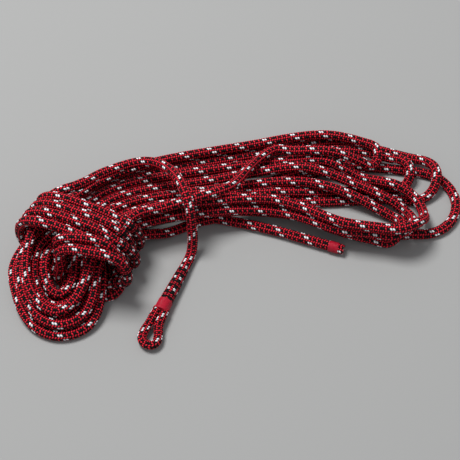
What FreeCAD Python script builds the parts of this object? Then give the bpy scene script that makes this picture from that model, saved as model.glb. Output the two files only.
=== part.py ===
import FreeCAD, Part
import math
import os

os.makedirs("parts", exist_ok=True)

# Driving dimensions of the rope, in millimetres
CORD = 10.0
ROOM = 0.8
SIDES = 8
ROUND = 16
FLOOR_CUT = CORD / 10
CENTRE = CORD / 2 - FLOOR_CUT
CONTACT = CORD + 0.5
PITCH = CORD + ROOM

# The line down the middle of the hank, from the ring at its left end to where the loops fan out,
# and how far the wraps under it lift its lowest turns there
SPINE = [(-171, -48), (-168.5, -34), (-160, -18), (-145.5, -1), (-121, 22), (-84, 41), (-32, 57), (25, 71)]
LIFT = [11.0, 11.0, 11.0, 11.0, 9.0, 1.0, 0.0, 0.0]
RING_LIFT = [8.0, 1.0, 0.0, 1.0, 8.0]
RING_SHARE = [1.0, 0.9, 0.25, 0.0, 0.0, 0.0, 0.0, 0.0]
NECK_SHARE = [0.0, 0.1, 0.75, 1.0, 0.6, 0.2, 0.0, 0.0]

# Each turn's places, in cords to the left of the spine: in the run and the neck as it comes, in the ring
# from its hole, in the neck and the run as it goes. Then its right bend: tip x and y, half width, heading
TURNS = [
    (-3.6, -3.4, 3.0, 3.4, 4.6, 109, 114, 11, 0),
    (-0.6, -0.5, 0.0, 0.5, 0.4, 219, 42, 41, -6),
    (-2.6, -2.5, 2.0, 2.5, 3.6, 200, 76, 28, -18),
    (-1.6, -1.5, 1.0, 1.5, 2.6, 174, 84, 17, -14),
    (-1.1, -1.0, 0.5, 0.0, -0.1, 160, 16, 19, -20),
    (-2.1, -2.0, 1.5, 1.0, 1.0, 170, 18, 26, -22),
    (-3.1, -3.0, 2.5, 2.0, 2.1, 181, 22, 34, -20),
    (-2.6, -2.5, 2.0, 3.0, 4.1, 136, 99, 12.5, -12),
]
HOLE = 11.2
DEPTH = 17
DEPTH_STEP = 1.55
LAST_RUN = 3.1
RING_ANGLES = [18, 54, 90, 126, 162]
BEND_ANGLES = [100, 60, 20, -20, -60, -100]
LEG_STEP = 38.0

# The first turn comes from the bare end, and the last one leaves the pile at the inner corner
START = [(-4, 17, 1.0), (-15, 19.4, 1.0), (-26, 21.8, 1.0)]
LEAVING = [(-56, 13, 0.0), (-78, 6, 0.0), (-98, -4, 0.0), (-111, -20, 0.0), (-117, -38, 0.0)]
ENTRY = [(-119, -56, CENTRE), (-130, -64, CENTRE)]

# Two locking turns round the near leg, through the hole, and four wraps round the neck, on ovals that
# stand on the floor: turns made, x and y of the middle, half width, top and tilt in degrees
OVALS = [
    (0.25, -142, -62, 31, 62, -12),
    (1.25, -142, -51.5, 31, 64, -12),
    (1.75, -144, -46, 33, 64, -14),
    (2.25, -165, -38, 49.5, 62, -24),
    (3.25, -161, -28, 48, 62, -24),
    (4.25, -157, -18, 47.5, 62, -24),
    (5.25, -152, -8, 47.5, 62, -24),
    (6.0, -149, -2, 47, 60, -24),
    (6.5, -147, 4, 46, 60, -24),
]
OVAL_POINTS = 12
SQUARENESS = 0.62
EXIT = [(-183, 19, 46), (-173, 20, 53), (-162, 25, 52), (-150, 36, 47)]

# The bare end lies free in front of the pile, up to its sewn end with a whipping round it
BARE_END = [(-4, 17, 5), (11, 13.73, 5), (42, 4.5, 5), (66, -4.6, 5.6), (84, -10.9, 5.6)]
END_WAY = (18, -6.3, 0)
END_LENGTH = 18.5
CORE = 7.4
END_BAND = (3.0, 10.5, 11.2)

# The other end crosses over the pile and comes down in front, to a splice that ends in an eye
EYE_TAIL = [
    (-150, 36, 47), (-139, 47, 44), (-122, 58, 41), (-103, 66, 40), (-88, 65, 42), (-74, 55, 47),
    (-63, 40, 52), (-56, 24, 54.5), (-50.5, 10, 54), (-47.5, -2, 42), (-46, -12, 17),
    (-47.75, -21.9, 5.13), (-52.5, -34, 5.6),
]
THROAT = (-72.9, -86, 7.6)
# How far along the splice, and the diameter there, of its outside and of the end buried in it
SPLICE = [(0.0, 10.0), (18.0, 11.6), (42.0, 13.0)]
BURIED = [(10.0, 2.4), (30.0, 6.4)]
BURIED_END = 8.4
BAND = (14.0, 14.1)
# The eye, from the throat: along the splice, beside it and up from it
EYE_CORD = 7.8
EYE = [
    (0, 4.0, 0), (9, 4.0, 0), (24, 9.9, -2.6), (36.4, 11.7, -4.3), (42.3, 6.9, -4.7),
    (41.7, -0.6, -4.7), (35.6, -6.4, -4.3), (24, -6.8, -2.6), (9, -4.0, 0), (0, -4.0, 0),
]

# Steps of a curve from one point to the next, where turns are laid on each other
STEPS = 6
EASE = 14
SETTLING = 60


def across(station, place):
    """A point beside the spine, to the left of its way from the ring to the fan."""
    x, y = SPINE[station]
    ax, ay = SPINE[max(station - 1, 0)]
    bx, by = SPINE[min(station + 1, len(SPINE) - 1)]
    long = math.hypot(bx - ax, by - ay)
    return x - (by - ay) / long * place, y + (bx - ax) / long * place


def way(a, b):
    """The unit direction from one point to another, seen from above."""
    long = math.dist(a[:2], b[:2])
    return (b[0] - a[0]) / long, (b[1] - a[1]) / long


def offset(station, side, ring, neck, run):
    """How far from the spine a turn lies at a station."""
    r, n = RING_SHARE[station], NECK_SHARE[station]
    return side * (HOLE + ring * PITCH) * r + (neck * n + run * (1 - r - n)) * PITCH


def ring_end(ring):
    """The half turn at the left end, from the near leg round to the far one."""
    x, y = SPINE[0]
    half, deep = HOLE + ring * PITCH, DEPTH + ring * PITCH * DEPTH_STEP
    turns = [math.radians(a) for a in RING_ANGLES]
    return [(x + half * math.cos(a), y - deep * math.sin(a), up) for a, up in zip(turns, RING_LIFT)]


def right_bend(tip_x, tip_y, half, heading):
    """The bend at the right end of a loop, from the far leg round to the near one."""
    ux, uy = math.cos(math.radians(heading)), math.sin(math.radians(heading))
    points = []
    for angle in BEND_ANGLES:
        u, v = half * math.cos(math.radians(angle)) - half, half * math.sin(math.radians(angle))
        points.append((tip_x + ux * u - uy * v, tip_y + uy * u + ux * v, 0.0))
    return points


def leg(start, start_way, end, end_way):
    """Points between two ends on a curve that leaves and arrives in the given directions."""
    long = math.dist(start[:2], end[:2])
    count = max(1, round(long / LEG_STEP) - 1)
    points = []
    for i in range(1, count + 1):
        t = i / (count + 1)
        a, b = 2 * t**3 - 3 * t**2 + 1, (t**3 - 2 * t**2 + t) * long
        c, d = 3 * t**2 - 2 * t**3, (t**3 - t**2) * long
        x, y = (a * start[k] + b * start_way[k] + c * end[k] + d * end_way[k] for k in (0, 1))
        points.append((x, y, 0.0))
    return points


def plan_of_turns():
    """Each turn seen from above, with what lifts it: near leg, ring, far leg, bend, and near leg again."""
    last = len(SPINE) - 1
    out = way(SPINE[-2], SPINE[-1])
    back = (-out[0], -out[1])
    plans = []
    for turn, next_run in zip(TURNS, [turn[0] for turn in TURNS[1:]] + [LAST_RUN]):
        near_run, near_neck, ring, far_neck, far_run = turn[:5]
        near = range(last if plans else last - 2, -1, -1)
        points = [] if plans else list(START)
        points += [(*across(k, offset(k, -1, ring, near_neck, near_run)), LIFT[k]) for k in near]
        plans.append(points + ring_end(ring))
        points = [(*across(k, offset(k, 1, ring, far_neck, far_run)), LIFT[k]) for k in range(last + 1)]
        bend = right_bend(*turn[5:])
        plans.append(points + leg(points[-1], out, bend[0], way(bend[0], bend[1])))
        plans.append(bend + leg(bend[-1], way(bend[-2], bend[-1]), across(last, next_run * PITCH), back))
    plans.append([(*across(last, LAST_RUN * PITCH), 0.0), (*across(last - 1, -26.0), 0.0)] + LEAVING)
    return plans


def slopes(points):
    """At each point, the unit direction of the circle through it and its two neighbours."""
    result = []
    for i, point in enumerate(points):
        before, after = points[max(i - 1, 0)], points[min(i + 1, len(points) - 1)]
        a, b = math.dist(before, point) or 1.0, math.dist(point, after) or 1.0
        s = [(q - p) * b / a + (r - q) * a / b for p, q, r in zip(before, point, after)]
        long = math.hypot(*s)
        result.append([v / long for v in s])
    return result


def trace(points, ways):
    """Closely spaced points on a smooth curve through the given ones."""
    dense = []
    for p, q, u, v in zip(points, points[1:], ways, ways[1:]):
        long = math.dist(p, q)
        for i in range(STEPS):
            t = i / STEPS
            a, b = 2 * t**3 - 3 * t**2 + 1, (t**3 - 2 * t**2 + t) * long
            c, d = 3 * t**2 - 2 * t**3, (t**3 - t**2) * long
            dense.append(tuple(a * e + b * f + c * g + d * h for e, f, g, h in zip(p, u, q, v)))
    return dense + [tuple(points[-1])]


def cell(x, y):
    return int(x // PITCH), int(y // PITCH)


def lay(plans):
    """Lay the turns down one after another, each resting on those under it, and give their points in space."""
    flat = [point for plan in plans for point in plan]
    plan = [point[:2] for point in flat]
    seen = trace(plan, slopes(plan))
    along = [0.0]
    for a, b in zip(seen, seen[1:]):
        along.append(along[-1] + math.dist(a, b))
    heights = [CENTRE + point[2] for point in flat]
    laid = {}
    first = 0
    for points in plans:
        last = first + len(points) - 1
        low = (first - 1) * STEPS + 1 if first else 0
        span = range(low, last * STEPS + 1)
        need = {}
        for i in span:
            x, y = seen[i]
            k, part = divmod(i, STEPS)
            base = heights[k] if not part else max(min(flat[k][2], flat[k + 1][2]) + CENTRE, CENTRE)
            need[i] = base
            cx, cy = cell(x, y)
            for nx in (cx - 1, cx, cx + 1):
                for ny in (cy - 1, cy, cy + 1):
                    for j, height in laid.get((nx, ny), ()):
                        gap = CONTACT**2 - (seen[j][0] - x) ** 2 - (seen[j][1] - y) ** 2
                        if gap > 0 and along[i] - along[j] > 4 * CORD:
                            need[i] = max(need[i], height + math.sqrt(gap))
        eased = dict(need)
        eased[low - 1] = heights[first - 1] if first else need[low]
        eased[span[-1] + 1] = need[span[-1]]
        for _ in range(EASE):
            level = {i: max(need[i], (eased[i - 1] + eased[i + 1]) / 2) for i in span}
            eased.update(level)
        for k in range(first, last + 1):
            heights[k] = eased[k * STEPS]
        for _ in range(2):
            upto = [(x, y, z) for (x, y), z in zip(plan[: last + 1], heights)]
            curve = trace(upto, slopes(upto))
            raised = {}
            for i in span:
                for k in {i // STEPS, -(-i // STEPS)}:
                    raised[k] = max(raised.get(k, 0.0), need[i] - curve[i][2])
            for k in range(first, last + 1):
                heights[k] += 0.8 * raised.get(k, 0.0)
        upto = [(x, y, z) for (x, y), z in zip(plan[: last + 1], heights)]
        curve = trace(upto, slopes(upto))
        for i in span:
            laid.setdefault(cell(*seen[i]), []).append((i, curve[i][2]))
        first = last + 1
    return [(x, y, z) for (x, y), z in zip(plan, heights)]


def oval(made):
    """A point on the ovals after a number of turns made, which go down the right side and up the left."""
    i = max(k for k, row in enumerate(OVALS[:-1]) if row[0] <= made)
    a, b = OVALS[i], OVALS[i + 1]
    part = (made - a[0]) / (b[0] - a[0])
    middle_x, middle_y, half, top, tilt = (p + (q - p) * part for p, q in zip(a[1:], b[1:]))
    c, s = math.cos(-2 * math.pi * made), math.sin(-2 * math.pi * made)
    tall = (top - CENTRE) / 2
    sideways = math.copysign(abs(c) ** SQUARENESS, c) * half
    up = math.copysign(abs(s) ** SQUARENESS, s) * tall
    tilt = math.radians(tilt)
    return middle_x + sideways * math.cos(tilt), middle_y + sideways * math.sin(tilt), CENTRE + tall + up


def wraps():
    """From the floor beside the ring: under its near leg, up the hole, over, twice, then round the neck."""
    first, last = round(OVALS[0][0] * OVAL_POINTS), round(OVALS[-1][0] * OVAL_POINTS)
    return ENTRY + [oval(k / OVAL_POINTS) for k in range(first, last + 1)] + EXIT


def corners_of(points):
    """The corners of the faceted cord's middle line: each point, and one on the curve between each two."""
    dense = trace(points, slopes(points))
    return dense[:: STEPS // 2]


def contacts(points, within):
    """Places where the rope comes near itself: both places on its line, the way between and how far."""
    corners = corners_of(points)
    part = STEPS // 2
    line = []
    for a, b in zip(corners, corners[1:]):
        line += [[p + (q - p) * i / part for p, q in zip(a, b)] for i in range(part)]
    along = [0.0]
    for a, b in zip(line, line[1:]):
        along.append(along[-1] + math.dist(a, b))
    cells = {}
    for i, point in enumerate(line):
        cx, cy = cell(*point[:2])
        for nx in (cx - 1, cx, cx + 1):
            for ny in (cy - 1, cy, cy + 1):
                for j in cells.get((nx, ny), ()):
                    gap = math.dist(point, line[j])
                    if gap < within and along[i] - along[j] > 3 * CORD:
                        yield i, j, [(p - q) / gap for p, q in zip(point, line[j])], gap
        cells.setdefault((cx, cy), []).append(i)


def settle(points):
    """Push the rope apart wherever two lengths of it press into each other, a little at a time."""
    points = [list(p) for p in points]
    for _ in range(SETTLING):
        pushes = {}
        for i, j, apart, gap in contacts(points, CONTACT):
            for place, sign in ((i, 0.5), (j, -0.5)):
                for k in {place // STEPS, -(-place // STEPS)}:
                    push = [sign * (CONTACT + 0.05 - gap) * c for c in apart]
                    if math.hypot(*push) > math.hypot(*pushes.get(k, (0, 0, 0))):
                        pushes[k] = push
        for k, push in pushes.items():
            if 2 < k < len(points) - 3:
                points[k] = [p + d for p, d in zip(points[k], push)]
                points[k][2] = max(points[k][2], CENTRE)
    return [tuple(p) for p in points]


def hank_points():
    return settle(lay(plan_of_turns()) + wraps())


def section(spot, toward, diameter, sides):
    """The corners of a regular section across a line, with a flat side down."""
    flat = FreeCAD.Vector(0, 0, 1).cross(toward).normalize()
    over = toward.cross(flat).normalize()
    angles = [math.pi * (2 * k + 1) / sides for k in range(sides)]
    return [spot + (flat * math.cos(a) + over * math.sin(a)) * diameter / 2 for a in angles]


def flat_sided(rims):
    """A solid with flat sides through sections that all have the same number of corners."""
    faces = [Part.Face(Part.makePolygon(rim + rim[:1])) for rim in (rims[0], rims[-1])]
    for rim, new in zip(rims, rims[1:]):
        for k in range(len(rim)):
            faces.append(Part.Face(Part.makePolygon([rim[k - 1], rim[k], new[k], new[k - 1], rim[k - 1]])))
    return Part.Solid(Part.Shell(faces))


def hank(points):
    """All loops, locking turns and wraps: one unbroken faceted cord, cut flat where it lies on the floor."""
    spots = [FreeCAD.Vector(*p) for p in corners_of(points)]
    ways = [(b - a).normalize() for a, b in zip(spots, spots[1:])]
    rims = [section(spots[0], ways[0], CORD, SIDES)]
    for spot, along, onward in zip(spots[1:], ways, ways[1:] + ways[-1:]):
        joint = along + onward
        rims.append([p + along * ((spot - p).dot(joint) / along.dot(joint)) for p in rims[-1]])
    floor = Part.makeBox(600, 400, 20, FreeCAD.Vector(-300, -200, -20))
    return flat_sided(rims).cut(floor).Solids[0]


def free_route(points):
    """Straight runs joined by tangent arcs, as a list of edges, and the radii of the arcs."""
    spots = [FreeCAD.Vector(*p) for p in points]
    edges, radii = [], []
    at = spots[0]
    for a, b, c in zip(spots, spots[1:], spots[2:]):
        turn = (b - a).getAngle(c - b)
        if turn < 1e-4:
            continue
        reach = 0.45 * min((b - a).Length, (c - b).Length)
        radius = reach / math.tan(turn / 2)
        before, after = (b - a).normalize(), (c - b).normalize()
        inward = (after - before).normalize()
        middle = b + inward * radius * (1 / math.cos(turn / 2) - 1)
        edges.append(Part.LineSegment(at, b - before * reach).toShape())
        edges.append(Part.Arc(b - before * reach, middle, b + after * reach).toShape())
        at = b + after * reach
        radii.append(round(radius, 1))
    edges.append(Part.LineSegment(at, spots[-1]).toShape())
    return edges, radii


def free_cord(name, points, diameter):
    """A faceted cord that lies free, with its radii and its volume against section times length printed."""
    edges, radii = free_route(points)
    first = edges[0]
    rim = section(first.valueAt(first.FirstParameter), first.tangentAt(first.FirstParameter), diameter, SIDES)
    outline = Part.makePolygon(rim + rim[:1])
    solid = Part.Wire(edges).makePipeShell([outline], True, False)
    length = sum(edge.Length for edge in edges)
    ratio = solid.Volume / (Part.Face(outline).Area * length)
    print(name, "length", round(length, 1), "radii", radii, "volume ratio", round(ratio, 4))
    return solid


def faceted(profile, foot, toward):
    """A straight piece with flat sides about a line, from places along it and diameters there."""
    foot, toward = FreeCAD.Vector(*foot), FreeCAD.Vector(*toward).normalize()
    return flat_sided([section(foot + toward * along, toward, diameter, ROUND) for along, diameter in profile])


def ring(start, length, outer, inner, foot, toward):
    """A band round a cord."""
    outside = faceted([(start, outer), (start + length, outer)], foot, toward)
    return outside.cut(faceted([(start, inner), (start + length, inner)], foot, toward))


def bare_end():
    """The cut end: a braided sheath round a core, and the whipping round both."""
    foot = BARE_END[-1]
    core = faceted([(0, CORE), (END_LENGTH, CORE)], foot, END_WAY)
    sheath = ring(0, END_LENGTH, CORD, CORE, foot, END_WAY)
    start, length, outer = END_BAND
    return sheath, core, ring(start, length, outer, CORD, foot, END_WAY)


def splice():
    """The splice: the cord's own sheath, swollen by the end that is buried in it, and its whipping."""
    foot = FreeCAD.Vector(*EYE_TAIL[-1])
    toward = FreeCAD.Vector(*THROAT) - foot
    long = toward.Length
    buried = faceted(BURIED + [(long, BURIED_END)], foot, toward)
    cover = faceted(SPLICE + [(long, SPLICE[-1][1])], foot, toward).cut(buried)
    width, outer = BAND
    return cover, buried, ring(long - width, width, outer, SPLICE[-1][1], foot, toward)


def eye():
    """The eye: one bight of the cord, whose two legs go into the splice."""
    foot = FreeCAD.Vector(*THROAT)
    along = (foot - FreeCAD.Vector(*EYE_TAIL[-1])).normalize()
    beside = FreeCAD.Vector(0, 0, 1).cross(along).normalize()
    up = FreeCAD.Vector(0, 0, 1)
    spots = [foot + along * a + beside * b + up * c for a, b, c in EYE]
    return free_cord("eye_loop", spots, EYE_CORD)


def save(name, shape):
    """Write one piece, and say whether it is sound."""
    solids = shape.Solids
    print(name, "solids", len(solids), "valid", shape.isValid(), "volume", round(shape.Volume))
    (solids[0] if len(solids) == 1 else shape).exportStep("parts/" + name + ".step")


turns = hank_points()
gap = min(found[3] for found in contacts(turns, CORD + 0.6)) - CORD
print("hank points", len(turns), "least gap to itself", round(gap, 2))
save("hank", hank(turns))
save("bare_tail", free_cord("bare_tail", BARE_END, CORD))
for name, shape in zip(("end_sheath", "end_core", "end_whipping"), bare_end()):
    save(name, shape)
save("eye_tail", free_cord("eye_tail", EYE_TAIL, CORD))
for name, shape in zip(("splice_cover", "buried_tail", "eye_whipping"), splice()):
    save(name, shape)
save("eye_loop", eye())
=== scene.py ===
import math

import bmesh
import bpy
import numpy as np
from mathutils import Matrix, Vector


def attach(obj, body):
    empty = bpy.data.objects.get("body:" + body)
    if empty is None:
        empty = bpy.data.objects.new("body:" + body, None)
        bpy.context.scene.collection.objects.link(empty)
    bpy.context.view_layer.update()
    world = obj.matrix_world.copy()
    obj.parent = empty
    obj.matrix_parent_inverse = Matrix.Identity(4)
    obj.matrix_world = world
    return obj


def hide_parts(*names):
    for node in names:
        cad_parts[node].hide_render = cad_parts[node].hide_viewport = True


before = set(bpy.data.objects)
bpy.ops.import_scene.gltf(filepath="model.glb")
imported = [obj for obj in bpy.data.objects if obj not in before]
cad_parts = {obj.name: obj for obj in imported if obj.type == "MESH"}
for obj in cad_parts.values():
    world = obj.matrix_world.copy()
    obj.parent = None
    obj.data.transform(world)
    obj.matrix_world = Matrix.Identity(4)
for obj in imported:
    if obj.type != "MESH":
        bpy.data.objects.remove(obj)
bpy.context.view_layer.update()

# THE CAMERA
# It looks down on the hank from the front at 54 degrees, far enough off for the rope's near and far
# side to be seen at nearly one scale.
LOOK_AT = Vector((-0.010, 0.011, 0.0))
CAMERA_AT = Vector((-0.010, -0.6943, 0.9708))
LENS = 93.9
SENSOR = 36

camera_data = bpy.data.cameras.new("camera")
camera_data.lens = LENS
camera_data.sensor_width = SENSOR
camera = bpy.data.objects.new("camera", camera_data)
camera.location = CAMERA_AT
camera.rotation_mode = "QUATERNION"
camera.rotation_quaternion = (LOOK_AT - CAMERA_AT).to_track_quat("-Z", "Y")
bpy.context.scene.collection.objects.link(camera)
bpy.context.scene.camera = camera
bpy.context.scene.view_settings.view_transform = "Standard"

# THE ROPE'S TURNS
# A hand-wound hank: eight long turns that share a tight ring at the left and fan out at the right, then
# two turns that lock the ring and four that wrap its neck. Each length lies on those laid before it.
CORD = 0.010
# The middle of a cord on the floor, where its underside is pressed flat by a millimetre
CENTRE = CORD * 0.4
# How near the middles of two lengths may come, and how far apart they lie side by side
CONTACT = CORD + 0.0005
PITCH = CORD + 0.0008
# The spine runs from the ring to the fan, and the legs lie beside it. Each of its stations has what lifts
# a leg there, its shares of the ring and of the neck, the rest being the run, and the run's spread.
SPINE = [
    (-0.171, -0.048), (-0.1685, -0.034), (-0.160, -0.018), (-0.1455, -0.001), (-0.121, 0.022),
    (-0.084, 0.041), (-0.032, 0.0515), (0.025, 0.0600),
]
LIFT = [0.011, 0.011, 0.011, 0.011, 0.009, 0.001, 0.0, 0.0]
RING_SHARE = [1.0, 0.9, 0.25, 0.0, 0.0, 0.0, 0.0, 0.0]
NECK_SHARE = [0.0, 0.1, 0.75, 1.0, 0.6, 0.2, 0.0, 0.0]
RUN_SPREAD = [1.0, 1.0, 1.0, 1.0, 1.0, 1.0, 1.09, 1.14]
# Each turn's places beside the spine, in cords: near run, near neck, ring, far neck and far run. Then its
# right bend: the tip's x and y, the half width, and the heading in degrees.
TURNS = [
    (-3.6, -3.4, 3.0, 3.4, 4.6, 0.109, 0.101, 0.011, 0),
    (-0.6, -0.5, 0.0, 0.5, 0.4, 0.219, 0.038, 0.041, -6),
    (-2.6, -2.5, 2.0, 2.5, 3.6, 0.200, 0.063, 0.028, -18),
    (-1.6, -1.5, 1.0, 1.5, 2.6, 0.174, 0.072, 0.017, -14),
    (-1.1, -1.0, 0.5, 0.0, -0.1, 0.160, 0.002, 0.019, -20),
    (-2.1, -2.0, 1.5, 1.0, 1.0, 0.170, 0.004, 0.026, -22),
    (-3.1, -3.0, 2.5, 2.0, 2.1, 0.181, 0.009, 0.034, -20),
    (-2.6, -2.5, 2.0, 3.0, 4.1, 0.142, 0.090, 0.0125, -12),
]
# The station where the first turn joins the spine, and the place where the last one comes back to it
FIRST_STATION = 5
LAST_RUN = 3.1
# The ring is half an oval round its hole: its half width and depth for the innermost turn, how many times
# as fast it grows in depth as in width, and the angles and lifts of its points
HOLE = 0.0112
DEPTH = 0.017
DEPTH_STEP = 1.55
RING_ANGLES = [18, 54, 90, 126, 162]
RING_LIFT = [0.008, 0.001, 0.0, 0.001, 0.008]
# The angles of a right bend's points, and how far apart the points are on the legs that reach it
BEND_ANGLES = [100, 60, 20, -20, -60, -100]
LEG_STEP = 0.038
# How far the near legs of the turns bow out over the floor, for each cord that they lie off the spine
SAG = 0.0046
# The rope comes in from the bare end, and goes back at last over the pile to the ring's near side
START = [(-0.004, 0.017, 0.001), (-0.015, 0.0194, 0.001), (-0.026, 0.0218, 0.001)]
LEAVING = [
    (0.034, 0.098, 0.0), (-0.006, 0.036, 0.0), (-0.046, 0.015, 0.0), (-0.078, 0.006, 0.0),
    (-0.098, -0.004, 0.0), (-0.111, -0.020, 0.0), (-0.117, -0.038, 0.0),
]
# The locking turns and the neck wraps stand on the floor as ovals: turns made, x and y of the middle,
# half width, top, and tilt in degrees
OVALS = [
    (0.25, -0.1420, -0.062, 0.031, 0.062, -12),
    (1.25, -0.1420, -0.0515, 0.031, 0.064, -12),
    (1.75, -0.144, -0.046, 0.033, 0.064, -14),
    (2.25, -0.165, -0.038, 0.0495, 0.062, -24),
    (3.25, -0.161, -0.028, 0.048, 0.062, -24),
    (4.25, -0.157, -0.018, 0.0475, 0.062, -24),
    (5.25, -0.152, -0.008, 0.0475, 0.062, -24),
    (6.0, -0.149, -0.002, 0.047, 0.060, -24),
    (6.5, -0.147, 0.004, 0.046, 0.060, -24),
]
OVAL_POINTS = 12
# The power that squares the ovals, because strands under a tight wrap fill its corners
SQUARENESS = 0.62
# The floor's points before the first oval, and those on the pile after the last
ENTRY = [(-0.119, -0.056, CENTRE), (-0.130, -0.064, CENTRE)]
EXIT = [(-0.183, 0.019, 0.046), (-0.173, 0.020, 0.053), (-0.162, 0.025, 0.052), (-0.150, 0.036, 0.047)]
# Points of a traced curve for each given one. The rope's own spline keeps every third of them.
STEPS = 6
HALF_STEPS = STEPS // 2
# Lengths that are nearer than this along the rope belong to one bend and aren't kept apart
BEND_LENGTH = 4 * CORD
TIGHT_BEND_LENGTH = 3 * CORD
# Laying: how often a turn's heights are eased, then how often and by what share they are raised
EASINGS = 14
RAISINGS = 2
RAISED_SHARE = 0.8
# Settling: how often the rope is pushed apart, by how much more than it needs, and the points held at
# its ends
SETTLINGS = 60
SPARE = 0.00005
HELD = 3


def beside_spine(station, offset):
    """A point to the left of the spine, on its way from the ring to the fan."""
    x, y = SPINE[station]
    ax, ay = SPINE[max(station - 1, 0)]
    bx, by = SPINE[min(station + 1, len(SPINE) - 1)]
    long = math.hypot(bx - ax, by - ay)
    return x - (by - ay) / long * offset, y + (bx - ax) / long * offset


def turn_offset(station, side, ring, neck, run):
    """How far from the spine a turn lies at a station."""
    r, n = RING_SHARE[station], NECK_SHARE[station]
    round_hole = side * (HOLE + ring * PITCH) * r
    return round_hole + (neck * n + run * (1 - r - n)) * PITCH * RUN_SPREAD[station]


def along_spine(stations, side, ring, neck, run):
    """A turn's points at the stations, with what lifts them."""
    return [(*beside_spine(k, turn_offset(k, side, ring, neck, run)), LIFT[k]) for k in stations]


def ring_end(place):
    x, y = SPINE[0]
    half, deep = HOLE + place * PITCH, DEPTH + place * DEPTH_STEP * PITCH
    turns = [math.radians(a) for a in RING_ANGLES]
    return [(x + half * math.cos(a), y - deep * math.sin(a), up) for a, up in zip(turns, RING_LIFT)]


def right_bend(tip_x, tip_y, half, degrees):
    ux, uy = math.cos(math.radians(degrees)), math.sin(math.radians(degrees))
    points = []
    for angle in BEND_ANGLES:
        u, v = half * math.cos(math.radians(angle)) - half, half * math.sin(math.radians(angle))
        points.append((tip_x + ux * u - uy * v, tip_y + uy * u + ux * v, 0.0))
    return points


def heading(a, b):
    long = math.dist(a[:2], b[:2])
    return (b[0] - a[0]) / long, (b[1] - a[1]) / long


def curve_shares(t, long):
    """What a curve's start, its way there, its end and its way there count for, at a part t of it."""
    start, start_way = 2 * t**3 - 3 * t**2 + 1, (t**3 - 2 * t**2 + t) * long
    end, end_way = 3 * t**2 - 2 * t**3, (t**3 - t**2) * long
    return start, start_way, end, end_way


def leg(start, start_way, end, end_way):
    """Points between two ends, on a curve that leaves and arrives in the given directions."""
    long = math.dist(start[:2], end[:2])
    count = max(1, round(long / LEG_STEP) - 1)
    points = []
    for i in range(1, count + 1):
        a, b, c, d = curve_shares(i / (count + 1), long)
        x, y = (a * start[k] + b * start_way[k] + c * end[k] + d * end_way[k] for k in (0, 1))
        points.append((x, y, 0.0))
    return points


def plan_of_turns():
    """Each turn from above, with what lifts it: near leg and ring, far leg, bend and near leg again."""
    last = len(SPINE) - 1
    out = heading(SPINE[-2], SPINE[-1])
    back = (-out[0], -out[1])
    plans = []
    for i, turn in enumerate(TURNS):
        near_run, near_neck, ring, far_neck, far_run = turn[:5]
        inwards = range(last if plans else FIRST_STATION, -1, -1)
        points = [] if plans else list(START)
        points += along_spine(inwards, -1, ring, near_neck, near_run)
        plans.append(points + ring_end(ring))
        points = along_spine(range(last + 1), 1, ring, far_neck, far_run)
        bend = right_bend(*turn[5:])
        plans.append(points + leg(points[-1], out, bend[0], heading(bend[0], bend[1])))
        to = TURNS[i + 1][0] if i + 1 < len(TURNS) else LAST_RUN
        near = leg(bend[-1], heading(bend[-2], bend[-1]), beside_spine(last, to * PITCH), back)
        bow = SAG * max(0.0, -to)
        for k, (x, y, up) in enumerate(near):
            near[k] = (x, y - bow * math.sin(math.pi * (k + 1) / (len(near) + 1)) ** 2, up)
        plans.append(bend + near)
    return plans + [LEAVING]


def ways_at(points):
    """At each point, the direction of the circle through it and its two neighbours."""
    before = np.vstack([points[:1], points[:-1]])
    after = np.vstack([points[1:], points[-1:]])
    a = np.linalg.norm(points - before, axis=1, keepdims=True)
    b = np.linalg.norm(after - points, axis=1, keepdims=True)
    a[0] = b[-1] = 1.0
    ways = (points - before) * b / a + (after - points) * a / b
    return ways / np.linalg.norm(ways, axis=1, keepdims=True)


def trace(points):
    """Closely spaced points on a smooth curve through the given ones."""
    ways = ways_at(points)
    p, q, u, v = points[:-1, None], points[1:, None], ways[:-1, None], ways[1:, None]
    long = np.linalg.norm(q - p, axis=2, keepdims=True)
    a, b, c, d = curve_shares((np.arange(STEPS) / STEPS)[None, :, None], long)
    return np.vstack([(a * p + b * u + c * q + d * v).reshape(-1, points.shape[1]), points[-1:]])


def traced_heights(flat, heights):
    return trace(np.column_stack([flat, heights]))[:, 2]


def lengths_along(line):
    return np.concatenate([[0.0], np.cumsum(np.linalg.norm(np.diff(line, axis=0), axis=1))])


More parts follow.
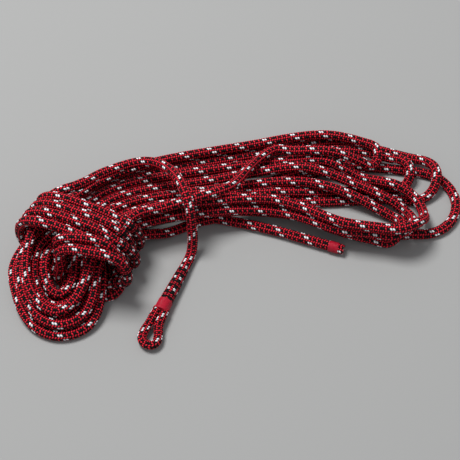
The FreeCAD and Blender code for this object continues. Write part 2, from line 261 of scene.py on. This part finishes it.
def lay(plans):
    """Lay the turns down one after another, each resting on those under it."""
    plan_points = np.array([point for plan in plans for point in plan])
    flat, lifts = plan_points[:, :2], plan_points[:, 2]
    seen = trace(flat)
    along = lengths_along(seen)
    heights = CENTRE + lifts
    tops = np.zeros(len(seen))
    first = 0
    for plan in plans:
        last = first + len(plan) - 1
        low = (first - 1) * STEPS + 1 if first else 0
        span = np.arange(low, last * STEPS + 1)
        k, onward = span // STEPS, -(-span // STEPS)
        need = np.where(k == onward, heights[k], np.minimum(lifts[k], lifts[onward]) + CENTRE)
        room = CONTACT**2 - ((seen[span, None] - seen[None, :low]) ** 2).sum(axis=2)
        rests = (room > 0) & (along[span, None] - along[None, :low] > BEND_LENGTH)
        if low:
            held = np.where(rests, tops[None, :low] + np.sqrt(np.maximum(room, 0)), -1.0)
            need = np.maximum(need, held.max(axis=1))
        eased = np.concatenate([[heights[first - 1] if first else need[0]], need, need[-1:]])
        for _ in range(EASINGS):
            eased[1:-1] = np.maximum(need, (eased[:-2] + eased[2:]) / 2)
        heights[first : last + 1] = eased[1 + np.arange(first, last + 1) * STEPS - low]
        for _ in range(RAISINGS):
            short = need - traced_heights(flat[: last + 1], heights[: last + 1])[span]
            raised = np.zeros(len(flat))
            np.maximum.at(raised, k, short)
            np.maximum.at(raised, onward, short)
            heights[first : last + 1] += RAISED_SHARE * raised[first : last + 1]
        tops[span] = traced_heights(flat[: last + 1], heights[: last + 1])[span]
        first = last + 1
    return np.column_stack([flat, heights])


def oval(made):
    """A point on the ovals after a number of turns made, which go down the right side and up the left."""
    i = max(k for k, row in enumerate(OVALS[:-1]) if row[0] <= made)
    a, b = OVALS[i], OVALS[i + 1]
    part = (made - a[0]) / (b[0] - a[0])
    middle_x, middle_y, half, top, tilt = (p + (q - p) * part for p, q in zip(a[1:], b[1:]))
    c, s = math.cos(-2 * math.pi * made), math.sin(-2 * math.pi * made)
    tall = (top - CENTRE) / 2
    sideways = math.copysign(abs(c) ** SQUARENESS, c) * half
    up = math.copysign(abs(s) ** SQUARENESS, s) * tall
    tilt = math.radians(tilt)
    return middle_x + sideways * math.cos(tilt), middle_y + sideways * math.sin(tilt), CENTRE + tall + up


def wraps():
    """From the floor beside the ring: under its near leg, up the hole, over, twice, then round the neck."""
    first, last = round(OVALS[0][0] * OVAL_POINTS), round(OVALS[-1][0] * OVAL_POINTS)
    return np.array(ENTRY + [oval(k / OVAL_POINTS) for k in range(first, last + 1)] + EXIT)


def settle(points):
    """Push the rope apart wherever two lengths of it press into each other, a little at a time."""
    points = points.copy()
    parts = (np.arange(HALF_STEPS) / HALF_STEPS)[None, :, None]
    for _ in range(SETTLINGS):
        corners = trace(points)[::HALF_STEPS]
        line = (corners[:-1, None] + (corners[1:] - corners[:-1])[:, None] * parts).reshape(-1, 3)
        along = lengths_along(line)
        gaps = np.linalg.norm(line[:, None] - line[None], axis=2)
        i, j = np.nonzero((gaps < CONTACT) & (along[:, None] - along[None] > TIGHT_BEND_LENGTH))
        gap = gaps[i, j][:, None]
        push = (CONTACT + SPARE - gap) / 2 * (line[i] - line[j]) / gap
        push = np.concatenate([push, push, -push, -push])
        k = np.concatenate([i // STEPS, -(-i // STEPS), j // STEPS, -(-j // STEPS)])
        order = np.argsort(np.linalg.norm(push, axis=1), kind="stable")
        moves = np.zeros_like(points)
        moves[k[order]] = push[order]
        moves[:HELD] = moves[-HELD:] = 0
        points += moves
        touched = np.any(moves, axis=1)
        points[touched, 2] = np.maximum(points[touched, 2], CENTRE)
    return points


hank_points = trace(settle(np.vstack([lay(plan_of_turns()), wraps()])))[::HALF_STEPS]

# THE ROPE'S TWO ENDS
# The bare end runs out over the floor in front of the pile to a whipped cut. The other end crosses
# the pile, drops over its edge and lies on the floor in a splice that is stiff and straight.
BARE_END = [
    (0.011, 0.01373, 0.005), (0.042, 0.0045, 0.005), (0.066, -0.0046, 0.0056), (0.084, -0.0109, 0.0056),
]
END_WAY = Vector((0.018, -0.0063, 0.0)).normalized()
END_LENGTH = 0.0185
EYE_TAIL = [
    (-0.139, 0.047, 0.044), (-0.122, 0.058, 0.041), (-0.103, 0.066, 0.040), (-0.088, 0.065, 0.042),
    (-0.074, 0.055, 0.047), (-0.063, 0.040, 0.052), (-0.056, 0.024, 0.0545), (-0.0505, 0.010, 0.054),
    (-0.0475, -0.002, 0.042), (-0.046, -0.012, 0.017), (-0.04775, -0.0219, 0.00513),
    (-0.0525, -0.034, 0.0056),
]
THROAT = Vector((-0.0748, -0.0872, 0.0076))
# The splice is straight from here on, and swells: how far past its foot, and the cover's radius there
STRAIGHT_FROM = 0.012
SPLICE = [(0.0, 0.0050), (0.018, 0.0058), (0.042, 0.0065)]
# Points that the spline gives for each of its controls
ROPE_DETAIL = 12


def spots_of(mesh):
    spots = np.zeros(len(mesh.vertices) * 3)
    mesh.vertices.foreach_get("co", spots)
    return spots.reshape(-1, 3)


def smooth_line(points, detail):
    """Points read from one smooth spline that has the given ones as its controls."""
    curve = bpy.data.curves.new("line", "CURVE")
    curve.dimensions = "3D"
    spline = curve.splines.new("NURBS")
    spline.points.add(len(points) - 1)
    spline.points.foreach_set("co", np.column_stack([points, np.ones(len(points))]).ravel())
    spline.order_u = 3
    spline.use_endpoint_u = True
    spline.resolution_u = detail
    holder = bpy.data.objects.new("line", curve)
    mesh = bpy.data.meshes.new_from_object(holder)
    line = spots_of(mesh)
    bpy.data.objects.remove(holder)
    bpy.data.curves.remove(curve)
    bpy.data.meshes.remove(mesh)
    return line


cut = Vector(BARE_END[-1]) + END_WAY * END_LENGTH
splice_foot = Vector(EYE_TAIL[-1])
splice_way = (THROAT - splice_foot).normalized()
splice = [tuple(splice_foot + splice_way * STRAIGHT_FROM), tuple(THROAT)]
controls = np.vstack([[tuple(cut)], BARE_END[::-1], hank_points, EYE_TAIL, splice])
rope_line = smooth_line(controls, ROPE_DETAIL)

# THE BRAID
# Twenty-four polyamide yarns, twelve wound each way, so the cover shows twelve columns that lean by turns
# to the left and to the right. Two neighbours are white and show as a double dash.
COLUMNS = 12
YARNS_IN_PICK = 2
PICK = 0.0049
# How far a yarn slants on its way across its column, in yarns
SLANT = 0.45
RED = (0.80, 0.013, 0.036)
BLACK = (0.004, 0.0035, 0.0045)
WHITE = (0.96, 0.97, 1.0)
FORWARD_YARNS = [WHITE, WHITE, BLACK, RED, BLACK, BLACK, RED, BLACK, RED, BLACK, RED, BLACK]
BACKWARD_YARNS = [RED] * COLUMNS
# Over the splice the yarns stand in hoops round the rope
SPLICED_FORWARD = [WHITE, BLACK, BLACK, RED, BLACK, BLACK]
SPLICED_BACKWARD = [RED, RED, BLACK, RED, BLACK, RED]
# The powers that widen a column's top and narrow a yarn's
COLUMN_TOP = 0.5
YARN_TOP = 1.2
# The heights between which a yarn's colour grows from painted shade, black in its creases, to painted
# light on its crown, and from what to what: red and black yarns, then the white pair, whose painted light
# spreads wider
THIN_PAINTED_SHADE = (0.36, 0.90, 0.0, 1.2)
WHITE_PAINTED_SHADE = (0.06, 0.55, 0.05, 1.08)
# Each pair is what a measure is multiplied by and what is added: a yarn's own chance, its fibres' wave,
# which paints shade in the grooves between the fibres, and, for the roughness, its height
CHANCE_SHADE = (0.35, 0.80)
FIBRE_GROOVE_PAINTED_SHADE = (0.06, 0.97)
YARN_ROUGHNESS = (-0.25, 0.75)
FIBRES = 4
FIBRE_RELIEF = 0.05
YARN_SPECULAR = 0.16
YARN_BUMP = 0.0006


def wire(tree, made, inputs):
    """Give a node its inputs, which are numbers or other nodes' outputs."""
    for key, value in (inputs.items() if isinstance(inputs, dict) else enumerate(inputs)):
        if isinstance(value, bpy.types.NodeSocket):
            tree.links.new(value, made.inputs[key])
        else:
            made.inputs[key].default_value = value


def node(tree, kind, inputs=(), **settings):
    made = tree.nodes.new(kind)
    for name, value in settings.items():
        setattr(made, name, value)
    wire(tree, made, inputs)
    return made


def sums(tree, operation, *values):
    return node(tree, "ShaderNodeMath", values, operation=operation).outputs[0]


def mixed(tree, share, first, second):
    return node(tree, "ShaderNodeMix", {0: share, 6: first, 7: second}, data_type="RGBA").outputs[2]


def scaled(tree, colour, shade):
    return node(tree, "ShaderNodeVectorMath", {0: colour, "Scale": shade}, operation="SCALE").outputs[0]


def bumped(tree, height, depth):
    return node(tree, "ShaderNodeBump", {"Height": height, "Distance": depth}).outputs[0]


def new_material(name):
    material = bpy.data.materials.new(name)
    material.use_nodes = True
    return material, material.node_tree, material.node_tree.nodes["Principled BSDF"]


def yarn_colours(tree, place, colours):
    """One flat colour for each yarn that is wound one way."""
    ramp = node(tree, "ShaderNodeValToRGB", [place])
    ramp.color_ramp.interpolation = "CONSTANT"
    while len(ramp.color_ramp.elements) < len(colours):
        ramp.color_ramp.elements.new(0.5)
    for i, colour in enumerate(colours):
        ramp.color_ramp.elements[i].position = i / len(colours)
        ramp.color_ramp.elements[i].color = (*colour, 1)
    return ramp.outputs[0]


def both_ways(tree, leans_back, number, forward, backward):
    """The numbered yarn's colour, from one list in the columns that lean forward and one in the others."""
    place = sums(tree, "FLOORED_MODULO", sums(tree, "ADD", number, 0.5), len(forward))
    place = sums(tree, "DIVIDE", place, len(forward))
    first, second = yarn_colours(tree, place, forward), yarn_colours(tree, place, backward)
    return mixed(tree, leans_back, first, second)


def braid_group():
    """Colour with painted shade and light, height and roughness at a place on the rope: metres along it and
    turns round it.
    """
    group = bpy.data.node_groups.new("Braid", "ShaderNodeTree")
    face = group.interface
    face.new_socket("Place", in_out="INPUT", socket_type="NodeSocketVector")
    face.new_socket("Pick", in_out="INPUT", socket_type="NodeSocketFloat").default_value = PICK
    face.new_socket("Spliced", in_out="INPUT", socket_type="NodeSocketFloat")
    face.new_socket("Colour", in_out="OUTPUT", socket_type="NodeSocketColor")
    face.new_socket("Height", in_out="OUTPUT", socket_type="NodeSocketFloat")
    face.new_socket("Roughness", in_out="OUTPUT", socket_type="NodeSocketFloat")
    given = node(group, "NodeGroupInput").outputs
    place = node(group, "ShaderNodeSeparateXYZ", [given["Place"]]).outputs

    column = sums(group, "MULTIPLY", place[1], COLUMNS)
    whole = sums(group, "FLOOR", column)
    part = sums(group, "FRACT", column)
    leans_back = sums(group, "FLOORED_MODULO", whole, 2.0)
    lean = sums(group, "SUBTRACT", leans_back, 0.5)
    leant = sums(group, "ADD", whole, sums(group, "MULTIPLY_ADD", part, SLANT, 0.5 - SLANT / 2))
    picks = sums(group, "DIVIDE", place[0], given["Pick"])
    yarn = sums(group, "MULTIPLY", sums(group, "MULTIPLY_ADD", leant, lean, picks), YARNS_IN_PICK)
    yarn_number = sums(group, "FLOOR", yarn)
    hoop_number = sums(group, "FLOOR", sums(group, "MULTIPLY", picks, YARNS_IN_PICK))

    across = sums(group, "SINE", sums(group, "MULTIPLY", part, math.pi))
    across = sums(group, "POWER", across, COLUMN_TOP)
    round_yarn = sums(group, "SINE", sums(group, "MULTIPLY", sums(group, "FRACT", yarn), math.pi))
    round_yarn = sums(group, "POWER", round_yarn, YARN_TOP)
    height = sums(group, "MULTIPLY", across, round_yarn)
    fibres = sums(group, "SINE", sums(group, "MULTIPLY", yarn, 2 * math.pi * FIBRES))

    plain = both_ways(group, leans_back, yarn_number, FORWARD_YARNS, BACKWARD_YARNS)
    spliced = both_ways(group, leans_back, hoop_number, SPLICED_FORWARD, SPLICED_BACKWARD)
    colour = mixed(group, given["Spliced"], plain, spliced)
    white = node(group, "ShaderNodeSeparateColor", [colour]).outputs[1]
    # Painted shade and light: the colour goes black in the creases between yarns and columns, and brighter
    # than its own on each yarn's crown
    thin_painted_shade = node(group, "ShaderNodeMapRange", [height, *THIN_PAINTED_SHADE]).outputs[0]
    white_painted_shade = node(group, "ShaderNodeMapRange", [height, *WHITE_PAINTED_SHADE]).outputs[0]
    shade = node(group, "ShaderNodeMix", {0: white, 2: thin_painted_shade, 3: white_painted_shade}, data_type="FLOAT").outputs[0]
    number = node(group, "ShaderNodeCombineXYZ", [yarn_number, whole, 0.0]).outputs[0]
    chance = node(group, "ShaderNodeTexWhiteNoise", {"Vector": number}, noise_dimensions="3D").outputs[0]
    shade = sums(group, "MULTIPLY", shade, sums(group, "MULTIPLY_ADD", chance, *CHANCE_SHADE))
    # Painted shade in the grooves between the fibres, where the same wave lowers the relief
    shade = sums(group, "MULTIPLY", shade, sums(group, "MULTIPLY_ADD", fibres, *FIBRE_GROOVE_PAINTED_SHADE))

    raised = sums(group, "MULTIPLY_ADD", fibres, FIBRE_RELIEF, height)
    rough = sums(group, "MULTIPLY_ADD", height, *YARN_ROUGHNESS)
    node(group, "NodeGroupOutput", [scaled(group, colour, shade), raised, rough])
    return group


def braid_material(name, group, pick):
    material, tree, shader = new_material(name)
    place = node(tree, "ShaderNodeUVMap", uv_map="Braid").outputs[0]
    spliced = node(tree, "ShaderNodeAttribute", attribute_name="spliced").outputs["Fac"]
    given = {"Place": place, "Pick": pick, "Spliced": spliced}
    braid = node(tree, "ShaderNodeGroup", given, node_tree=group).outputs
    wire(tree, shader, {
        "Base Color": braid["Colour"], "Roughness": braid["Roughness"],
        "Specular IOR Level": YARN_SPECULAR, "Normal": bumped(tree, braid["Height"], YARN_BUMP),
    })
    return material


braid = braid_group()
rope_braid = braid_material("rope_braid", braid, PICK)

# THE ROPE
# A braided cover over a straight core, cut into five lengths of equal rows, so that no mesh grows too
# heavy.
# Each is a grid rolled round the line, with the yarns raised on it.
LENGTHS = 5
ROWS_IN_PICK = 4
POINTS_IN_COLUMN = 4
AROUND = POINTS_IN_COLUMN * COLUMNS
YARN_RELIEF = 0.00042
# What is left of a yarn's height between it and the next, and the height that is level with the radius
BETWEEN_YARNS = 0.4
LEVEL = 0.6
# The cover's rim at the cut: how far inside the cut each row lies, and its radius
RIM = [(0.0045, 0.0034), (0.0, 0.0036), (-0.0003, 0.0043)]
# Where the splice's hoops begin past its foot, and how far from the foot they may lie
HOOPS_FROM = 0.004
HOOPS_WITHIN = 0.08
# Points nearer than this are one, at a tube's seam
WELD = 0.00001
# The margins of a tube's baked map, in maps along its strips and in strips across them
MAP_MARGIN = 0.005
STRIP_MARGIN = 0.02


def frames_along(line):
    """At each point of a line: two directions across it that never twist."""
    on = np.gradient(line, axis=0)
    on /= np.linalg.norm(on, axis=1, keepdims=True)
    side = np.zeros_like(on)
    side[0] = np.cross((0, 0, 1), on[0])
    for i in range(1, len(on)):
        side[i] = side[i - 1] - on[i] * side[i - 1].dot(on[i])
        side[i] /= math.sqrt(side[i].dot(side[i]))
    return side, np.cross(on, side)


def evenly(line, step):
    """The same line with points at even distances, and how far along it each of them is."""
    along = lengths_along(line)
    places = np.linspace(0, along[-1], round(along[-1] / step) + 1)
    return places, np.column_stack([np.interp(places, along, line[:, k]) for k in range(3)])


def yarn_height(places, turns, pick):
    """How far the yarns stand over the cord's radius, in reliefs, where the braid's colours have them."""
    column = turns * COLUMNS
    lean = np.floor(column) % 2 - 0.5
    leant = np.floor(column) + 0.5 + SLANT * (column % 1.0 - 0.5)
    yarn = (YARNS_IN_PICK * (places / pick + lean * leant)) % 1.0
    across = np.sin(math.pi * (column % 1.0))
    return across * (BETWEEN_YARNS + (1 - BETWEEN_YARNS) * np.sin(math.pi * yarn)) - LEVEL


def in_strips(uv, places, radius):
    """A long tube's map, cut into strips that lie side by side and fill a square."""
    rows = len(places)
    strips = max(1, round(math.sqrt((places[-1] - places[0]) / (2 * math.pi * radius))))
    each = math.ceil((rows - 1) / strips)
    row = uv[:, 0] * (rows - 1)
    strip = np.repeat(np.floor(row.reshape(-1, 4).mean(axis=1)) // each, 4)
    along = MAP_MARGIN + (1 - 2 * MAP_MARGIN) * ((row - strip * each) / each)
    across = (strip + STRIP_MARGIN + (1 - 2 * STRIP_MARGIN) * uv[:, 1]) / strips
    return np.column_stack([along, across])


def finished(bm, mesh, name):
    """The piece with this name in the scene, its faces smooth."""
    for face in bm.faces:
        face.smooth = True
    bm.to_mesh(mesh)
    bm.free()
    piece = bpy.data.objects.new(name, mesh)
    bpy.context.scene.collection.objects.link(piece)
    return piece


def rolled_tube(name, map_name, places, line, across, around, reach):
    """A grid rolled round a line, closed at its seam and ends. reach gives its radius by row and turns."""
    rows = len(places)
    side, up = across
    bm = bmesh.new()
    bm.loops.layers.uv.new(map_name)
    bmesh.ops.create_grid(bm, x_segments=rows - 1, y_segments=around, size=0.5, calc_uvs=True)
    mesh = bpy.data.meshes.new(name)
    bm.to_mesh(mesh)
    bm.free()

    spots = spots_of(mesh)
    row = np.rint((spots[:, 0] + 0.5) * (rows - 1)).astype(int)
    turns = np.rint((spots[:, 1] + 0.5) * around) / around
    angle = 2 * math.pi * (turns % 1.0)
    out = side[row] * np.cos(angle)[:, None] + up[row] * np.sin(angle)[:, None]
    radius = reach(row, turns)
    spots = line[row] + out * radius[:, None]
    spots[:, 2] = np.maximum(spots[:, 2], 0.0)
    mesh.vertices.foreach_set("co", spots.ravel())

    uv = np.zeros(len(mesh.loops) * 2)
    mesh.uv_layers[map_name].uv.foreach_get("vector", uv)
    uv = uv.reshape(-1, 2)
    bake_map = mesh.uv_layers.new(name="OFBake")
    bake_map.uv.foreach_set("vector", in_strips(uv, places, radius.mean()).ravel())
    uv[:, 0] = np.interp(uv[:, 0] * (rows - 1), np.arange(rows), places)
    mesh.uv_layers[map_name].uv.foreach_set("vector", uv.ravel())

    bm = bmesh.new()
    bm.from_mesh(mesh)
    bmesh.ops.remove_doubles(bm, verts=bm.verts, dist=WELD)
    bmesh.ops.holes_fill(bm, edges=[edge for edge in bm.edges if edge.is_boundary], sides=0)
    bmesh.ops.recalc_face_normals(bm, faces=bm.faces)
    return finished(bm, mesh, name)


places, rope_line = evenly(rope_line, PICK / ROWS_IN_PICK)
side, up = frames_along(rope_line)
past_foot = (THROAT - splice_foot).length - (places[-1] - places)
rope_radius = np.interp(past_foot, *zip(*SPLICE))
joints = [round(i * (len(places) - 1) / LENGTHS) for i in range(LENGTHS + 1)]
for i, (a, b) in enumerate(zip(joints, joints[1:])):
    rows = np.concatenate([[0] * len(RIM) if i == 0 else [], np.arange(a, b + 1)]).astype(int)
    line, radius, relief = rope_line[rows], rope_radius[rows], np.full(len(rows), YARN_RELIEF)
    if i == 0:
        line[: len(RIM)] = [tuple(cut - END_WAY * inside) for inside, _ in RIM]
        radius[: len(RIM)] = [wide for _, wide in RIM]
        relief[: len(RIM)] = 0
    piece = rolled_tube(
        f"rope_{i + 1}", "Braid", places[rows], line, (side[rows], up[rows]), AROUND,
        lambda row, turns: radius[row] + relief[row] * yarn_height(places[rows][row], turns, PICK),
    )
    if i == LENGTHS - 1:
        covers_end = piece.data.attributes.new("spliced", "FLOAT", "POINT")
        from_foot = spots_of(piece.data) - np.array(splice_foot)
        past = from_foot @ np.array(splice_way) > HOOPS_FROM
        near = np.linalg.norm(from_foot, axis=1) < HOOPS_WITHIN
        covers_end.data.foreach_set("value", (past & near).astype(float))
    piece.data.materials.append(rope_braid)
    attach(piece, "root")
    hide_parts("hank")
    if i == 0:
        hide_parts("bare_tail", "end_sheath")
    if i == LENGTHS - 1:
        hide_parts("eye_tail", "splice_cover", "buried_tail")

# THE CUT END
# The core shows where the rope was cut: a bundle of white polyamide strands, each twisted from fine
# yarns, that stand a little unevenly inside the rim of the cover.
STRAND = 0.0011
STRAND_SIDES = 14
STRAND_ROUNDING = 0.0003
# One strand in the middle and six round it: the radius of each ring and the strands in it
STRAND_RINGS = [(0.0, 1), (0.00215, 6)]
RING_TURN = 0.25
CORE_DEPTH = 0.006
# How far the strands' tops differ, and the angle from one to the next in the wave that says by how much
UNEVEN = 0.0003
UNEVEN_STEP = 2.4
# Edges that turn by more than this are rims and not a strand's sides
RIM_TURN = 1.2
CORE_WHITE = (0.66, 0.62, 0.54)
CORE_GREY = (0.10, 0.085, 0.07)
# The fine yarns' and the soot's noise, as scale and detail, and what they add to the colour
CORE_YARNS = (2600.0, 2.0)
CORE_SOOT = (420.0, 1.0)
YARNS_ADD = 0.8
SOOT_ADDS = (0.6, -0.1)
CORE_BUMP = 0.0003
CORE_ROUGHNESS = 0.8


def noise(tree, scale, detail):
    here = node(tree, "ShaderNodeTexCoord").outputs["Object"]
    return node(tree, "ShaderNodeTexNoise", {"Vector": here, "Scale": scale, "Detail": detail}).outputs[0]


def core_material():
    material, tree, shader = new_material("core_strands")
    yarns = noise(tree, *CORE_YARNS)
    soot = sums(tree, "MULTIPLY_ADD", noise(tree, *CORE_SOOT), *SOOT_ADDS)
    shade = sums(tree, "MULTIPLY_ADD", yarns, YARNS_ADD, soot)
    wire(tree, shader, {
        "Base Color": mixed(tree, shade, (*CORE_GREY, 1), (*CORE_WHITE, 1)),
        "Roughness": CORE_ROUGHNESS, "Normal": bumped(tree, yarns, CORE_BUMP),
    })
    return material


bm = bmesh.new()
strands = [
    (far, 2 * math.pi * (k + RING_TURN) / count) for far, count in STRAND_RINGS for k in range(count)
]
for i, (far, angle) in enumerate(strands):
    made = bmesh.ops.create_cone(
        bm, segments=STRAND_SIDES, radius1=STRAND, radius2=STRAND, depth=CORE_DEPTH, cap_ends=True,
    )
    high = UNEVEN * math.sin(UNEVEN_STEP * i)
    spot = Vector((far * math.cos(angle), far * math.sin(angle), high - CORE_DEPTH / 2))
    bmesh.ops.translate(bm, verts=made["verts"], vec=spot)
rims = [edge for edge in bm.edges if len(edge.link_faces) == 2 and edge.calc_face_angle() > RIM_TURN]
bmesh.ops.bevel(
    bm, geom=rims, offset=STRAND_ROUNDING, segments=2, profile=0.5, affect="EDGES", material=-1,
)
end_turn = END_WAY.to_track_quat("Z", "Y").to_matrix().to_4x4()
bmesh.ops.transform(bm, verts=bm.verts, matrix=Matrix.Translation(cut) @ end_turn)
core = finished(bm, bpy.data.meshes.new("end_core"), "end_core_strands")
core.data.materials.append(core_material())
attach(core, "root")
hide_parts("end_core")

# THE EYE
# The end of the rope turned back into itself: a small teardrop of the same braid, drawn thinner. Both its
# legs go down into the splice, where the whipping holds them.
EYE_CORD = 0.0086
EYE_PICK = 0.0044
EYE_DETAIL = 24
# The line of the eye, from one leg round to the other: past the throat, to its side, and up
EYE = [
    (0.0, 0.0037, 0.0), (0.009, 0.0040, 0.0), (0.018, 0.0048, -0.0012), (0.0260, 0.0087, -0.0026),
    (0.0330, 0.0106, -0.0033), (0.0387, 0.0078, -0.0033), (0.0394, 0.0008, -0.0033),
    (0.0356, -0.0048, -0.0033), (0.0270, -0.0058, -0.0026), (0.018, -0.0041, -0.0012),
    (0.009, -0.0040, 0.0), (0.0, -0.0037, 0.0),
]

to_side = Vector((0, 0, 1)).cross(splice_way).normalized()
eye_controls = [tuple(THROAT + splice_way * a + to_side * b + Vector((0, 0, c))) for a, b, c in EYE]
eye_places, eye_line = evenly(smooth_line(eye_controls, EYE_DETAIL), EYE_PICK / ROWS_IN_PICK)
eye = rolled_tube(
    "eye", "Braid", eye_places, eye_line, frames_along(eye_line), AROUND,
    lambda row, turns: EYE_CORD / 2 + YARN_RELIEF * yarn_height(eye_places[row], turns, EYE_PICK),
)
eye.data.materials.append(braid_material("eye_braid", braid, EYE_PICK))
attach(eye, "root")
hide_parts("eye_loop")

# THE WHIPPINGS
# Waxed red thread wound tightly round the splice and round the cut end, turn by turn, so close that
# each band looks smooth from a step away.
THREAD = 0.00055
ROWS_IN_THREAD = 4
THREAD_AROUND = 48
# How deep the groove between two turns of the thread is
GROOVE = THREAD / 4
# Each band: how far before the cut or the throat it starts, its length, its radius, and that of its ends,
# which go down into the rope
END_BAND = (0.0150, 0.0100, 0.0056, 0.0048)
EYE_BAND = (0.0100, 0.0125, 0.0070, 0.0060)
THREAD_RED = (0.56, 0.005, 0.030)
THREAD_BUMP = 0.0002
# Each pair is what a measure is multiplied by and what is added: the thread's height, which paints shade in
# the grooves between its turns, and the wax
THREAD_GROOVE_PAINTED_SHADE = (0.45, 0.60)
WAX_SHADE = (0.3, 0.85)
WAX_ROUGHNESS = (0.4, 0.25)
# The wax's noise, as scale and detail
WAX = (260.0, 3.0)


def thread_material():
    material, tree, shader = new_material("whipping_thread")
    uv = node(tree, "ShaderNodeUVMap", uv_map="Thread").outputs[0]
    place = node(tree, "ShaderNodeSeparateXYZ", [uv]).outputs
    turn = sums(tree, "ADD", sums(tree, "DIVIDE", place[0], THREAD), place[1])
    high = sums(tree, "ABSOLUTE", sums(tree, "SINE", sums(tree, "MULTIPLY", turn, math.pi)))
    wax = noise(tree, *WAX)
    # Painted shade in the grooves between the thread's turns, darker where the thread is low
    groove_painted_shade = sums(tree, "MULTIPLY_ADD", high, *THREAD_GROOVE_PAINTED_SHADE)
    shade = sums(tree, "MULTIPLY", groove_painted_shade, sums(tree, "MULTIPLY_ADD", wax, *WAX_SHADE))
    wire(tree, shader, {
        "Base Color": scaled(tree, THREAD_RED, shade),
        "Roughness": sums(tree, "MULTIPLY_ADD", wax, *WAX_ROUGHNESS),
        "Normal": bumped(tree, high, THREAD_BUMP),
    })
    return material


thread = thread_material()


def whipping(name, replaced, measured_from, way, band):
    """A band of thread turns along a straight line, whose ends go down into the rope."""
    before, length, radius, inside = band
    step = THREAD / ROWS_IN_THREAD
    places = np.arange(0, length + step / 2, step)
    line = np.array(measured_from - way * before)[None] + np.array(way)[None] * places[:, None]
    ends = np.minimum(1.0, np.minimum(places, places[::-1]) / THREAD)

    def reach(row, turns):
        turn = np.abs(np.sin(math.pi * (places[row] / THREAD + turns)))
        return inside + (radius - inside - GROOVE * (1 - turn)) * np.sqrt(ends[row])

    piece = rolled_tube(name, "Thread", places, line, frames_along(line), THREAD_AROUND, reach)
    piece.data.materials.append(thread)
    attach(piece, "root")
    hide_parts(replaced)


whipping("whipping_end", "end_whipping", cut, END_WAY, END_BAND)
whipping("whipping_eye", "eye_whipping", THROAT, splice_way, EYE_BAND)

# THE STUDIO
# A pale grey floor under one big soft lamp from the upper left, and a dim, pale sky that fills the
# shadows between the strands.
FLOOR_SIZE = 6
FLOOR_GREY = (0.335, 0.335, 0.33)
FLOOR_ROUGHNESS = 0.9
LAMP_AT = Vector((-1.0, 0.9, 2.9))
LAMP_SIZE = 1.3
LAMP_POWER = 106
SKY = (0.9, 0.92, 0.95)
SKY_STRENGTH = 0.42

bm = bmesh.new()
bmesh.ops.create_grid(bm, x_segments=1, y_segments=1, size=FLOOR_SIZE)
floor = finished(bm, bpy.data.meshes.new("floor"), "floor")
floor_material, floor_tree, floor_shader = new_material("floor_grey")
wire(floor_tree, floor_shader, {"Base Color": (*FLOOR_GREY, 1), "Roughness": FLOOR_ROUGHNESS})
floor.data.materials.append(floor_material)

lamp_data = bpy.data.lights.new("softbox", "AREA")
lamp_data.shape = "DISK"
lamp_data.size = LAMP_SIZE
lamp_data.energy = LAMP_POWER
lamp = bpy.data.objects.new("softbox", lamp_data)
lamp.location = LAMP_AT
lamp.rotation_mode = "QUATERNION"
lamp.rotation_quaternion = (-LAMP_AT).to_track_quat("-Z", "Y")
bpy.context.scene.collection.objects.link(lamp)

world = bpy.data.worlds.new("studio")
world.use_nodes = True
wire(world.node_tree, world.node_tree.nodes["Background"], [(*SKY, 1), SKY_STRENGTH])
bpy.context.scene.world = world
